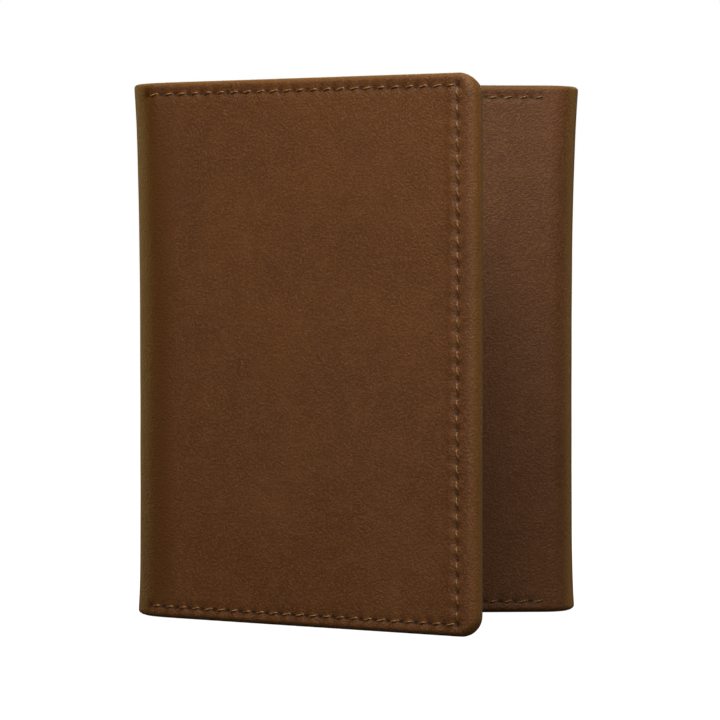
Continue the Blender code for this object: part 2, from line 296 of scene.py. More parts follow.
def clear_selection():
    for obj in bpy.context.selected_objects:
        obj.select_set(False)


def soft_box(name, place, width, height, watts, tint):
    """A rectangular lamp that faces the middle of the wallet."""
    data = bpy.data.lights.new(name, "AREA")
    data.shape = "RECTANGLE"
    data.size = width
    data.size_y = height
    data.energy = watts
    data.color = tint
    lamp = bpy.data.objects.new(name, data)
    scene.collection.objects.link(lamp)
    lamp.location = place
    lamp.rotation_euler = (Vector(MIDDLE) - Vector(place)).to_track_quat("-Z", "Y").to_euler()


MIDDLE = (0, 0, HEIGHT / 2)
soft_box("key_box", (-0.04, -0.29, 0.385), 0.34, 0.24, 3.15, (1.0, 0.985, 0.96))
soft_box("left_rim", (-0.42, 0.38, 0.16), 0.15, 0.4, 0.9, (1.0, 0.74, 0.25))
soft_box("right_rim", (0.50, 0.30, 0.16), 0.15, 0.4, 0.5, (1.0, 0.82, 0.45))
soft_box("back_box", (0.05, 0.60, 0.35), 0.5, 0.3, 2.0, (1.0, 0.88, 0.68))

clear_selection()
bpy.ops.mesh.primitive_plane_add(size=30, location=(0, 0, 0))
floor = bpy.context.object
floor.name = "floor"
print("stage is ready")

# %% [markdown]
# ## Materials
# Finishes come before the pieces, so that each piece takes its own as it is made.

# %% Start a finish
def new_material(name):
    mat = bpy.data.materials.new(name)
    mat.use_nodes = True
    return mat, mat.node_tree, mat.node_tree.nodes["Principled BSDF"]

# %% [markdown]
# ### Aniline cowhide
# The shell is full-grain cowhide, drum dyed and lightly waxed. Up close it has fine pores, here
# 0.38 mm apart, slightly coarse so that they still show at arm's length. A slow mottle shows where
# the hide took the dye unevenly. The turned edges go lighter and more yellow, partly as wear where the
# wax is thin and partly as painted rim light. The outermost line of each fold has painted rim light
# of the same colour, and the band in front of the left fold has painted shade.

# %% Cowhide
PORE_PITCH = 0.38 * MM
GRAIN_PITCH = 0.45 * MM
WEAR_AND_RIM_LIGHT_SHARE = 0.75                        # how far a full mask of wear and painted rim light goes to the rim colour
# Painted shade inside the needle holes.
HOLE_SHADE_COLOUR = "#241202"
HOLE_SHADE_SHARE = 0.92
HOLE_LONG = 0.23                         # half a needle hole, as a share of the stitch pitch
HOLE_WIDE = 0.40                         # half a needle hole, mm


def cowhide(name, base, dark, light, rim, deep, rough, seam_maps=()):
    mat, tree, shader = new_material(name)
    coords = add_node(tree, "ShaderNodeTexCoord")
    place = coords.outputs["Object"]
    slow = add_node(tree, "ShaderNodeTexNoise", [(place, "Vector")], Scale=55.0, Detail=3.0,
                    Roughness=0.55)
    patch = add_node(tree, "ShaderNodeTexNoise", [(place, "Vector")], Scale=260.0, Detail=4.0,
                     Roughness=0.6)
    pores = add_node(tree, "ShaderNodeTexVoronoi", [(place, "Vector")], Scale=1 / PORE_PITCH)
    grain = add_node(tree, "ShaderNodeTexNoise", [(place, "Vector")], Scale=1 / GRAIN_PITCH, Detail=3.0,
                     Roughness=0.7)
    slow_mask = add_node(tree, "ShaderNodeMapRange", [(slow.outputs["Fac"], "Value")],
                         From_Min=0.38, From_Max=0.66)
    patch_mask = add_node(tree, "ShaderNodeMapRange", [(patch.outputs["Fac"], "Value")],
                          From_Min=0.45, From_Max=0.8, To_Max=0.3)
    fleck = add_node(tree, "ShaderNodeMapRange", [(grain.outputs["Fac"], "Value")],
                     From_Min=0.47, From_Max=0.66, To_Max=0.8)
    # The mask: edge wear and painted rim light above 0, painted shade below 0.
    wear_and_painted_light = add_node(tree, "ShaderNodeAttribute", attribute_name="wear_and_painted_light").outputs["Fac"]
    colour = over(tree, slow_mask.outputs["Result"], dark, base)
    colour = over(tree, patch_mask.outputs["Result"], colour, light)
    colour = over(tree, fleck.outputs["Result"], colour, light)
    # Towards the rim colour: wear and painted rim light on the edges, painted rim light on the folds.
    colour = over(tree, times(tree, wear_and_painted_light, WEAR_AND_RIM_LIGHT_SHARE), colour, rim)
    # Towards the deep colour: painted shade on the band in front of the left fold.
    colour = over(tree, times(tree, wear_and_painted_light, -1.0, use_clamp=True), colour, deep)

    # Needle holes: a short slot of painted shade at each whole stitch along each seam map.
    for uv_name in seam_maps:
        uv = add_node(tree, "ShaderNodeUVMap", uv_map=uv_name)
        parts = add_node(tree, "ShaderNodeSeparateXYZ", [(uv.outputs["UV"], "Vector")])
        fraction = add_node(tree, "ShaderNodeMath", [(parts.outputs["X"], 0)], operation="FRACT")
        nearest = add_node(tree, "ShaderNodeMath", [(fraction.outputs[0], 0)], operation="PINGPONG")
        nearest.inputs[1].default_value = 0.5
        slot = add_node(tree, "ShaderNodeCombineXYZ", [
            (times(tree, nearest.outputs[0], 1 / HOLE_LONG), "X"),
            (times(tree, parts.outputs["Y"], 1 / HOLE_WIDE), "Y")])
        size = add_node(tree, "ShaderNodeVectorMath", [(slot.outputs["Vector"], 0)], operation="LENGTH")
        mask = add_node(tree, "ShaderNodeMapRange", [(size.outputs["Value"], "Value")],
                        From_Min=0.55, From_Max=1.25, To_Min=1.0, To_Max=0.0)
        colour = over(tree, times(tree, mask.outputs["Result"], HOLE_SHADE_SHARE), colour, HOLE_SHADE_COLOUR)
    tree.links.new(colour, shader.inputs["Base Color"])

    gloss = add_node(tree, "ShaderNodeMapRange", [(patch.outputs["Fac"], "Value")],
                     To_Min=rough - 0.05, To_Max=rough + 0.07)
    tree.links.new(gloss.outputs["Result"], shader.inputs["Roughness"])
    shader.inputs["IOR"].default_value = 1.46
    shader.inputs["Specular IOR Level"].default_value = 0.29
    grain_bump = add_node(tree, "ShaderNodeBump", [(grain.outputs["Fac"], "Height")], Strength=0.8,
                          Distance=0.0003)
    pore_bump = add_node(tree, "ShaderNodeBump", [(pores.outputs["Distance"], "Height"),
                                                  (grain_bump.outputs["Normal"], "Normal")],
                         Strength=0.3, Distance=0.0001)
    tree.links.new(pore_bump.outputs["Normal"], shader.inputs["Normal"])
    return mat


# rim is the colour of edge wear and painted rim light; deep is the colour of painted shade.
SHELL_LEATHER = cowhide("waxed_brown_cowhide", base="#522E0E", dark="#4B290B", light="#67401D",
                        rim="#7E560E", deep="#4B2801", rough=0.50,
                        seam_maps=("level_seams", "side_seam"))
POCKET_LEATHER = cowhide("pocket_cowhide", base="#4F2C0E", dark="#48270B", light="#583415",
                         rim="#573A0E", deep="#472604", rough=0.52)

# %% [markdown]
# ### Thread, lining and window film
# The seams are bonded polyester thread, dyed a shade lighter than the leather, with a visible twist.
# The lining is a thin dark twill, whose diagonal ribs lie about a millimetre apart. The window is
# clear soft vinyl: it has hardly any colour of its own, so mostly its gloss shows.

# %% Thread
THREAD, tree, shader = new_material("bonded_polyester_thread")
coords = add_node(tree, "ShaderNodeTexCoord")
twist = add_node(tree, "ShaderNodeTexWave", [(coords.outputs["Object"], "Vector")],
                 Scale=1 / 0.0016, Distortion=2.0, bands_direction="DIAGONAL")
tree.links.new(over(tree, twist.outputs["Fac"], "#523112", "#87602F"), shader.inputs["Base Color"])
ply = add_node(tree, "ShaderNodeBump", [(twist.outputs["Fac"], "Height")], Strength=0.5,
               Distance=0.00008)
tree.links.new(ply.outputs["Normal"], shader.inputs["Normal"])
shader.inputs["Roughness"].default_value = 0.55
shader.inputs["Specular IOR Level"].default_value = 0.35

# %% Lining and film
LINING, tree, shader = new_material("dark_twill_lining")
coords = add_node(tree, "ShaderNodeTexCoord")
slant = add_node(tree, "ShaderNodeMapping", [(coords.outputs["Object"], "Vector")])
slant.inputs["Rotation"].default_value = (0, math.radians(45), 0)
ribs = add_node(tree, "ShaderNodeTexWave", [(slant.outputs["Vector"], "Vector")],
                Scale=1 / 0.0033, Distortion=0.6, Detail=1.0)
weave = add_node(tree, "ShaderNodeTexNoise", [(coords.outputs["Object"], "Vector")], Scale=1 / 0.0008)
mixed = add_node(tree, "ShaderNodeMath", [(ribs.outputs["Fac"], 0), (weave.outputs["Fac"], 1)],
                 operation="MULTIPLY")
tree.links.new(over(tree, mixed.outputs[0], "#33241A", "#5B4433"), shader.inputs["Base Color"])
nap = add_node(tree, "ShaderNodeBump", [(mixed.outputs[0], "Height")], Strength=0.4, Distance=0.0001)
tree.links.new(nap.outputs["Normal"], shader.inputs["Normal"])
shader.inputs["Roughness"].default_value = 0.85
shader.inputs["Sheen Weight"].default_value = 0.08
shader.inputs["Specular IOR Level"].default_value = 0.3

FILM, tree, shader = new_material("clear_soft_vinyl")
coords = add_node(tree, "ShaderNodeTexCoord")
ripple = add_node(tree, "ShaderNodeTexNoise", [(coords.outputs["Object"], "Vector")], Scale=90.0,
                  Detail=1.0)
wavy = add_node(tree, "ShaderNodeBump", [(ripple.outputs["Fac"], "Height")], Strength=0.25,
                Distance=0.0006)
tree.links.new(wavy.outputs["Normal"], shader.inputs["Normal"])
shader.inputs["Base Color"].default_value = linear("#3A3934")       # no milkiness of its own
shader.inputs["Roughness"].default_value = 0.12
shader.inputs["IOR"].default_value = 1.52
shader.inputs["Specular IOR Level"].default_value = 1.0
shader.inputs["Alpha"].default_value = 0.22

FLOOR_FINISH, tree, shader = new_material("white_paper_sweep")
shader.inputs["Base Color"].default_value = (0.1, 0.1, 0.1, 1)
shader.inputs["Roughness"].default_value = 0.9
eye = add_node(tree, "ShaderNodeLightPath")
tree.links.new(eye.outputs["Is Camera Ray"], shader.inputs["Emission Strength"])    # white to the eye
shader.inputs["Emission Color"].default_value = (1, 1, 1, 1)
floor.data.materials.append(FLOOR_FINISH)
print("materials:", len(bpy.data.materials))

# %% [markdown]
# ## How a turned edge is shaped
# A leather worker skives the edge of the blank thin, folds it over the layers behind it and stitches
# it down. So each skin here starts as a flat grid, the cut blank with its turning allowance, and
# the grid is laid along the plan line. Past the outline the sheet follows a half ellipse round
# the edge and comes back as a narrow lip. At a corner the fold fans out round a quarter circle.

# %% The edges' sizes
CORNER_R = 4.2 * MM                      # free corners of the flaps
SKIN = 0.75 * MM                         # skived leather
CELL = 0.55 * MM                         # grid spacing of a blank
ROW_INSET = 2.45 * MM                    # level seams, in from the edge
SIDE_INSET = 3.9 * MM                    # the free edge's seam
PITCH = 3.1 * MM
ROW_FADE = 0.3 * PITCH                   # a seam's relief dies away past its ends
EDGE = {                                 # round outwards, round in depth, lip
    "side": (1.9 * MM, 2.2 * MM, 2.2 * MM),
    "bottom": (1.1 * MM, 2.1 * MM, 3.0 * MM),
    "top": (0.8 * MM, 1.0 * MM, 3.0 * MM),
}


def allowance(kind):
    """How much of the blank lies beyond the inner rectangle on one side."""
    out, deep, lip = EDGE[kind]
    return CORNER_R - out + math.pi * (out + deep) / 2 + lip


def seam_rows(s_from, s_to, start_free, end_free):
    """The seams of one panel: (name, start (s, z), stop (s, z)) with a whole number of stitches."""
    a = s_from + (SIDE_INSET if start_free else 0)
    b = s_to - (SIDE_INSET if end_free else 0)
    rows = [("top", (a, HEIGHT - ROW_INSET), (b, HEIGHT - ROW_INSET)),
            ("bottom", (a, ROW_INSET), (b, ROW_INSET))]
    if start_free or end_free:
        s = a if start_free else b
        rows.append(("side", (s, ROW_INSET), (s, HEIGHT - ROW_INSET)))
    return rows


def row_phase(row, s, z):
    """Distance along a row in stitches, distance across it, and 1 within its ends."""
    _, start, stop = row
    run = np.array(stop) - np.array(start)
    length = np.linalg.norm(run)
    d = run / length
    along = (s - start[0]) * d[0] + (z - start[1]) * d[1]
    across = -(s - start[0]) * d[1] + (z - start[1]) * d[0]
    count = round(length / PITCH)
    inside = np.clip((along + ROW_FADE) / ROW_FADE, 0, 1)
    inside = inside * np.clip((length - along + ROW_FADE) / ROW_FADE, 0, 1)
    return along / length * count, across, inside

# %% [markdown]
# ## Relief of the leather
# What keeps a flat panel from looking like a board is a fraction of a millimetre high. The leather
# sinks along each seam and puckers between the needle holes, swells a little between seam and edge,
# rolls gently across the panel, and flares at the ends of each fold, where the turned hems are
# stiffer than the single layer between them.

# %% Relief
FLARE_TOP = 1.15 * MM
FLARE_BOTTOM = 0.75 * MM
FLARE_TOP_REACH = 15 * MM
FLARE_BOTTOM_REACH = 8 * MM
FOLD_DRAW = 0.1 * MM                     # a fold draws the top and bottom edges in this far
GROOVE_DEEP = 0.14                       # mm, as are the next three
CREST = {"top": 0.10, "bottom": 0.10, "side": 0.24}       # swelling between seam and edge
PUCKER = {"top": 0.05, "bottom": 0.14, "side": 0.05}      # its rise and fall from stitch to stitch
ROLL, DIMPLE = 0.34, 0.05
GROOVE_WIDE = 0.75 * MM
CREST_AT = 1.4 * MM
CREST_WIDE = 0.9 * MM


def seam_relief(rows, s, z):
    depth = np.zeros_like(s)
    for row in rows:
        phase, across, inside = row_phase(row, s, z)
        tight = np.cos(2 * np.pi * phase)
        groove = np.exp(-(across / GROOVE_WIDE) ** 2)
        outside = across if row[0] == "top" else -across
        outside = -outside if row[0] == "side" and row[1][0] > TOTAL / 2 else outside
        swell = np.exp(-((outside - CREST_AT) / CREST_WIDE) ** 2)
        crest = CREST[row[0]] - PUCKER[row[0]] * tight
        depth += inside * (-GROOVE_DEEP * (1 + tight) * groove + crest * swell) * MM
    return depth


def panel_relief(s, z):
    """Slow rolls and small dimples, the same on every run."""
    out = np.empty_like(s)
    flat_s, flat_z, flat_out = s.ravel(), z.ravel(), out.ravel()
    for i in range(flat_s.size):
        a, b = flat_s[i] / MM, flat_z[i] / MM
        slow = noise.noise(Vector((a / 38, b / 46, 0.0)))
        small = noise.noise(Vector((a / 9, b / 12, 7.0)))
        flat_out[i] = ROLL * slow + DIMPLE * small
    return flat_out.reshape(s.shape) * MM


def fold_flare(s, z):
    top = FLARE_TOP * np.exp(-((HEIGHT - z) / FLARE_TOP_REACH))
    bottom = FLARE_BOTTOM * np.exp(-(z / FLARE_BOTTOM_REACH))
    return bend_share(s) * (top + bottom)

# %% [markdown]
# ## Laying a blank on the line
# The grid's own coordinates are lengths on the flat leather: s along the strip and z up it. Inside
# the outline the point simply goes to its place on the plan line. Beyond it, the distance past the
# inner rectangle is followed round the edge, outwards in a direction that fans round the corner.

# %% Lay a blank
def fan(da, dz, side_room, edge_room):
    """Turn an offset beyond the inner rectangle into a fraction of the room and an angle."""
    fa = np.abs(da) / side_room
    fz = np.abs(dz) / edge_room
    most = np.maximum(fa, fz)
    least = np.minimum(fa, fz)
    ratio = np.divide(least, most, out=np.zeros_like(most), where=most > 1e-9)
    angle = np.where(fa >= fz, ratio * math.pi / 4, math.pi / 2 - ratio * math.pi / 4)
    return most, angle


def laid(s, z, panel, lift=0.0, relief=True):
    """World places of blank points (s, z); lift is above the leather's face."""
    s_from, s_to, start_free, end_free, rows = panel
    a_low = s_from + CORNER_R if start_free else -math.inf
    a_high = s_to - CORNER_R if end_free else math.inf
    a = np.clip(s, a_low, a_high)
    b = np.clip(z, CORNER_R, HEIGHT - CORNER_R)
    upper = z > HEIGHT / 2
    side = EDGE["side"]
    edge_out = np.where(upper, EDGE["top"][0], EDGE["bottom"][0])
    edge_deep = np.where(upper, EDGE["top"][1], EDGE["bottom"][1])
    edge_room = np.where(upper, allowance("top"), allowance("bottom"))
    fraction, angle = fan(s - a, z - b, allowance("side"), edge_room)
    mix = np.sin(angle) ** 2
    out = side[0] + (edge_out - side[0]) * mix
    deep = side[1] + (edge_deep - side[1]) * mix
    room = allowance("side") + (edge_room - allowance("side")) * mix
    past = fraction * room
    flat = CORNER_R - out
    arc = math.pi * (out + deep) / 2
    turn = np.clip((past - flat) / arc, 0, 1) * math.pi
    lip = np.maximum(past - flat - arc, 0)
    outward = np.where(past < flat, past, flat + out * np.sin(turn) - lip)
    depth = deep * (1 - np.cos(turn))
    along = a + outward * np.cos(angle) * np.sign(s - a)
    up = b + outward * np.sin(angle) * np.sign(z - b)
    x, y, nx, ny = on_line(along)
    raise_by = fold_flare(along, up) + lift
    if relief:
        face = np.clip(np.cos(turn / 2), 0, 1) ** 2
        raise_by = raise_by + (panel_relief(along, up) + seam_relief(rows, along, up)) * face
    middle = HEIGHT / 2
    squeeze = 1 - FOLD_DRAW / middle * bend_share(along)
    up = middle + (up - middle) * squeeze
    return np.stack([x + nx * (raise_by - depth), y + ny * (raise_by - depth), up], axis=-1)


def make_panel(s_from, s_to, start_free=False, end_free=False, seam_from=None, seam_to=None, sewn=True):
    """One stretch of the strip; its seams may start or stop short of it or run past it."""
    rows = seam_rows(s_from if seam_from is None else seam_from, s_to if seam_to is None else seam_to,
                     start_free, end_free) if sewn else []
    return (s_from, s_to, start_free, end_free, rows)

# %% [markdown]
# A skin is a grid primitive whose points are laid and whose thickness comes from Solidify. Two UV maps
# carry the seams' own coordinates, in stitches along and millimetres across, so that the leather's
# finish can paint shade into each needle hole. A mask of edge wear and painted rim light is highest on
# folds and turned edges, and goes below 0 where shade is painted in front of the left fold.

# %% Make a skin
SMOOTH_ANGLE = math.radians(50)
FAR_OFF = 60.0                           # mm across a seam map, where there is no seam
MID_STITCH = 0.25                        # stitches along it there, clear of any hole
# Edge mask: partly wear, partly painted rim light on the turned edges.
LEVEL_WEAR_AND_RIM_LIGHT, LEVEL_WEAR_AND_RIM_LIGHT_WIDE = 0.55, 0.9 * MM              # top and bottom edges
SIDE_WEAR_AND_RIM_LIGHT, SIDE_WEAR_AND_RIM_LIGHT_WIDE = 0.28, 1.3 * MM                # free edges


def leather_skin(name, panel, finish):
    s_from, s_to, start_free, end_free, rows = panel
    s_low = s_from + CORNER_R - allowance("side") if start_free else s_from
    s_high = s_to - CORNER_R + allowance("side") if end_free else s_to
    z_low = CORNER_R - allowance("bottom")
    z_high = HEIGHT - CORNER_R + allowance("top")
    clear_selection()
    bpy.ops.mesh.primitive_grid_add(x_subdivisions=max(8, round((s_high - s_low) / CELL)),
                                    y_subdivisions=round((z_high - z_low) / CELL), size=2)
    skin = bpy.context.object
    skin.name = name
    mesh = skin.data
    co = np.empty(len(mesh.vertices) * 3)
    mesh.vertices.foreach_get("co", co)
    co = co.reshape(-1, 3)
    s = s_low + (co[:, 0] + 1) / 2 * (s_high - s_low)
    z = z_low + (co[:, 1] + 1) / 2 * (z_high - z_low)
    mesh.vertices.foreach_set("co", laid(s, z, panel).ravel())
    mesh.update()
    write_seam_maps(mesh, rows, s, z)
    write_wear_and_painted_light(mesh, panel, s, z)
    solid = skin.modifiers.new("skin_thickness", "SOLIDIFY")
    solid.thickness = SKIN
    solid.offset = -1.0
    bpy.ops.object.modifier_apply(modifier=solid.name)
    bpy.ops.object.shade_smooth_by_angle(angle=SMOOTH_ANGLE)
    mesh.materials.append(finish)
    print(name, "blank", round((s_high - s_low) / MM, 1), "x", round((z_high - z_low) / MM, 1), "mm")
    return skin


def write_seam_maps(mesh, rows, s, z):
    index = np.empty(len(mesh.loops), int)
    mesh.loops.foreach_get("vertex_index", index)
    for uv_name, names in (("level_seams", ("top", "bottom")), ("side_seam", ("side",))):
        layer = mesh.uv_layers.new(name=uv_name)
        along = np.full(s.shape, MID_STITCH)
        across = np.full(s.shape, FAR_OFF)
        for row in rows:
            if row[0] not in names:
                continue
            phase, offset, inside = row_phase(row, s, z)
            offset = np.abs(offset) / MM + FAR_OFF * (inside <= 0)
            nearer = offset < across
            along = np.where(nearer, phase, along)
            across = np.where(nearer, offset, across)
        layer.data.foreach_set("uv", np.stack([along, across], axis=-1)[index].ravel())


def strip_band(s, middle, half_width):
    return np.exp(-((s - middle) / half_width) ** 4)


def painted_fold_light(s):
    """1 on a fold's outermost line, where rim light is painted, below 0 on the band in front of the left
    fold, where shade is painted.
    """
    # Painted rim light on the left and the right fold.
    left = strip_band(s, (stops[4] + stops[5]) / 2 + 2.0 * MM, 5.2 * MM)
    right = strip_band(s, stops[1] + 7.5 * MM, 2.8 * MM)
    # Painted shade on the band in front of the left fold.
    darker = strip_band(s, stops[5] + 10.5 * MM, 5.0 * MM)
    return left + 0.8 * right - darker * (1 - left)


def write_wear_and_painted_light(mesh, panel, s, z):
    s_from, s_to, start_free, end_free, _ = panel
    to_level = np.minimum(z, HEIGHT - z)
    to_side = np.full(s.shape, HEIGHT)
    if start_free:
        to_side = s - s_from
    if end_free:
        to_side = s_to - s
    edge = np.maximum(LEVEL_WEAR_AND_RIM_LIGHT * np.clip(1 - to_level / LEVEL_WEAR_AND_RIM_LIGHT_WIDE, 0, 1),
                      SIDE_WEAR_AND_RIM_LIGHT * np.clip(1 - to_side / SIDE_WEAR_AND_RIM_LIGHT_WIDE, 0, 1))
    # Painted rim light on the folds and painted shade on the band in front of the left fold.
    fold = painted_fold_light(s)
    wear_and_light = np.where(edge > 0, np.maximum(edge, fold), fold)
    mask = mesh.attributes.new("wear_and_painted_light", "FLOAT", "POINT")
    mask.data.foreach_set("value", wear_and_light.astype(np.float32))

# %% [markdown]
# ## The leather shell
# The strip is divided where the leather is flat, so that each of its four pieces bends over one hinge
# at most: the inner flap, the right fold, the back with the left crease, and the front flap with its
# own crease. The two flaps have a free edge, with rounded corners.

# %% Four skins
inner_panel = make_panel(0.0, S_FOLD, start_free=True, seam_to=S_FOLD + 0.8 * MM)
fold_panel = make_panel(S_FOLD, S_BACK, sewn=False)
back_panel = make_panel(S_BACK, S_SPINE)
front_panel = make_panel(S_SPINE, TOTAL, end_free=True, seam_from=stops[5] + 10 * MM)

inner_skin = leather_skin("inner_flap_shell", inner_panel, SHELL_LEATHER)
fold_skin = leather_skin("right_fold_shell", fold_panel, SHELL_LEATHER)
back_skin = leather_skin("back_shell", back_panel, SHELL_LEATHER)
front_skin = leather_skin("front_flap_shell", front_panel, SHELL_LEATHER)


def line_point(s):
    x, y, _, _ = on_line(s)
    return (float(x), float(y), HEIGHT / 2)


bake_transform(back_skin)
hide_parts("centre_leather", "back_crease_leather")
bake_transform(front_skin)
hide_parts("front_flap_leather", "front_crease_leather", "spine_leather")
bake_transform(fold_skin)
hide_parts("right_fold_leather")
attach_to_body(inner_skin, "inner_flap")
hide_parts("inner_flap_leather")

# %% [markdown]
# ## Seams
# A lockstitch shows as a row of short, slightly slanted strokes. The thread leaves one needle hole,
# lies on the leather for two thirds of the pitch and dives into the next. Each seam is one tube along
# that route, laid on the same relief as the leather, so it sinks and puckers with it.

# %% Sew the seams
THREAD_R = 0.15 * MM
WELD = 0.01 * MM                            # points closer than this become one
STROKE = [                                  # share of the pitch, then height and sideways in mm
    (0.00, -0.75, 0.00),
    (0.20, -0.16, -0.16),
    (0.34, 0.10, -0.13),
    (0.50, 0.15, 0.00),
    (0.66, 0.10, 0.13),
    (0.80, -0.16, 0.16),
]


def strokes(path):
    """Points (across, up, height) of a lockstitch along path, a list of two or more flat points."""
    path = np.array(path, float)
    steps = np.linalg.norm(np.diff(path, axis=0), axis=1)
    marks = np.concatenate([[0.0], np.cumsum(steps)])
    count = max(1, round(marks[-1] / PITCH))
    points = []
    for i in range(count):
        for share, height, sideways in STROKE:
            gone = (i + share) / count * marks[-1]
            k = min(int(np.searchsorted(marks, gone, side="right")), len(path) - 1)
            d = (path[k] - path[k - 1]) / steps[k - 1]
            a, b = path[k - 1] + d * (gone - marks[k - 1])
            points.append((a - d[1] * sideways * MM, b + d[0] * sideways * MM, height * MM))
    points.append((*path[-1], STROKE[0][1] * MM))
    return np.array(points)


def weld(outward=False):
    """Merge the active mesh's coinciding points and, if asked, turn its normals out."""
    bpy.ops.object.mode_set(mode="EDIT")
    bpy.ops.mesh.select_all(action="SELECT")
    bpy.ops.mesh.remove_doubles(threshold=WELD)
    if outward:
        bpy.ops.mesh.normals_make_consistent(inside=False)
    bpy.ops.object.mode_set(mode="OBJECT")


def attach(piece, bodies):
    """Fix a piece to its one body; a piece between two is only left unparented in the frame's
    coordinates.
    """
    if len(bodies) == 2:
        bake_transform(piece)
    else:
        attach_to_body(piece, bodies[0])


def thread_tube(name, routes):
    """One thread object from one or more routes, each a list of places in the frame."""
    curve = bpy.data.curves.new(name, "CURVE")
    curve.dimensions = "3D"
    curve.bevel_depth = THREAD_R
    curve.bevel_resolution = 2
    curve.use_fill_caps = True
    for route in routes:
        spline = curve.splines.new("POLY")
        spline.points.add(len(route) - 1)
        spline.points.foreach_set("co", np.column_stack([route, np.ones(len(route))]).ravel())
    seam = bpy.data.objects.new(name, curve)
    scene.collection.objects.link(seam)
    clear_selection()
    seam.select_set(True)
    bpy.context.view_layer.objects.active = seam
    bpy.ops.object.convert(target="MESH")
    seam = bpy.context.object
    weld(outward=True)
    bpy.ops.object.shade_smooth()
    seam.data.materials.append(THREAD)
    return seam


def sew(name, panel, row, bodies, node):
    _, start, stop = row
    points = strokes([start, stop])
    seam = thread_tube(name, [laid(points[:, 0], points[:, 1], panel, lift=points[:, 2])])
    attach(seam, bodies)
    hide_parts(node)


BACK_BEND = (("centre_panel", "left_spine"), (line_point(stops[3]), line_point(stops[4])))
FRONT_BEND = (("left_spine", "front_flap"), (line_point(stops[5]), line_point(stops[6])))
for node, label, panel, bodies in (
        ("front_flap", "front_flap", front_panel, FRONT_BEND),
        ("inner_flap", "inner_flap", inner_panel, ("inner_flap",)),
        ("centre", "back", back_panel, BACK_BEND)):
    for row in panel[4]:
        sew(f"{label}_{row[0]}_thread", panel, row, bodies, f"{node}_{row[0]}_seam")
print("seams sewn")

# %% [markdown]
# ## Lining and bill compartment
# A thin twill lining is glued behind the leather, and a second, lined wall stands 2.5 mm in on the
# flaps and 3.2 mm in on the back. Bank notes go between them, so the wall stops 3 mm below the top.
# Both follow the strip round its folds, slightly shorter than the leather, because they lie on the
# inside of each bend. The thin twill takes the leather's relief and the stiffer wall doesn't.

# %% Lay the inner layers
LINING_THICK = 0.25 * MM
LINING_DEPTH = 0.85 * MM
WALL_THICK = 0.4 * MM
FLAP_WALL = 2.5 * MM                     # depth of the wall's outer face on the flaps
BACK_WALL = 3.2 * MM                     # and on the thicker back
LAYER_CELL = 1.3 * MM
EDGE_FREE = 2.3 * MM                     # inner layers stop short of a free edge
LEVEL_FREE = 1.1 * MM                    # and of the top and bottom
WALL_DROP = 3.0 * MM                     # the wall stops this far below the top
RIGHT_BEND = (("inner_flap", "centre_panel"), (line_point(stops[1]), line_point(stops[2])))


def place_grid(name, columns, rows, place, thick, finish, soften=0.0, join_ends=False):
    """A grid primitive moved point by point by place(u, v), then given its thickness."""
    clear_selection()
    bpy.ops.mesh.primitive_grid_add(x_subdivisions=columns, y_subdivisions=rows, size=2,
                                    calc_uvs=False)          # no finish here needs a UV map
    sheet = bpy.context.object
    sheet.name = name
    mesh = sheet.data
    co = np.empty(len(mesh.vertices) * 3)
    mesh.vertices.foreach_get("co", co)
    co = (co.reshape(-1, 3) + 1) / 2
    mesh.vertices.foreach_set("co", place(co[:, 0], co[:, 1]).ravel())
    mesh.update()
    if join_ends:                        # a band that meets itself is closed before it gets its wall
        weld()
    solid = sheet.modifiers.new("sheet_thickness", "SOLIDIFY")
    solid.thickness = thick
    solid.offset = -1.0
    bpy.ops.object.modifier_apply(modifier=solid.name)
    if soften:
        edges = sheet.modifiers.new("soft_edges", "BEVEL")
        edges.width = soften
        edges.segments = 2
        edges.limit_method = "ANGLE"
        edges.angle_limit = SMOOTH_ANGLE
        bpy.ops.object.modifier_apply(modifier=edges.name)
    bpy.ops.object.shade_smooth_by_angle(angle=SMOOTH_ANGLE)
    mesh.materials.append(finish)
    return sheet


def inner_layer(name, panel, z_range, depth, thick, bodies, nodes):
    """A lining or wall behind the leather; depth is a list of places on the strip and of depths there."""
    s_from, s_to, start_free, end_free, _ = panel
    s_low = s_from + (EDGE_FREE if start_free else 0)
    s_high = s_to - (EDGE_FREE if end_free else 0)

    def place(u, v):
        s = s_low + u * (s_high - s_low)
        z = z_range[0] + v * (z_range[1] - z_range[0])
        return laid(s, z, panel, lift=-np.interp(s, *depth), relief=thick == LINING_THICK)

    layer = place_grid(name, round((s_high - s_low) / LAYER_CELL),
                       round((z_range[1] - z_range[0]) / (1.6 * LAYER_CELL)), place, thick, LINING)
    attach(layer, bodies)
    if nodes:
        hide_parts(*nodes)


lining_z = (LEVEL_FREE, HEIGHT - LEVEL_FREE)
wall_z = (LEVEL_FREE, HEIGHT - WALL_DROP)
lining_depth = ([0, TOTAL], [LINING_DEPTH, LINING_DEPTH])
wall_depth = ([stops[1], stops[2], stops[3], stops[4]], [FLAP_WALL, BACK_WALL, BACK_WALL, FLAP_WALL])
for label, panel, bodies, node_names in (
        ("inner_flap", inner_panel, ("inner_flap",), ["inner_flap"]),
        ("right_fold", fold_panel, RIGHT_BEND, []),
        ("back", back_panel, BACK_BEND, ["centre"]),
        ("front_flap", front_panel, FRONT_BEND, ["front_flap", "spine"])):
    inner_layer(f"{label}_twill", panel, lining_z, lining_depth, LINING_THICK, bodies,
                [f"{n}_lining" for n in node_names])
    inner_layer(f"{label}_note_wall", panel, wall_z, wall_depth, WALL_THICK, bodies,
                [f"{n}_bill_wall" for n in node_names])

# %% [markdown]
# ## Card pockets
# Each card stands upright in a leather pocket that is open towards the left fold. The pockets are
# cut sheets, stepped 8 mm so that each card's edge shows, with a softened mouth, a line pressed with
# a hot creaser 1.5 mm from it, and one seam round the three closed sides.

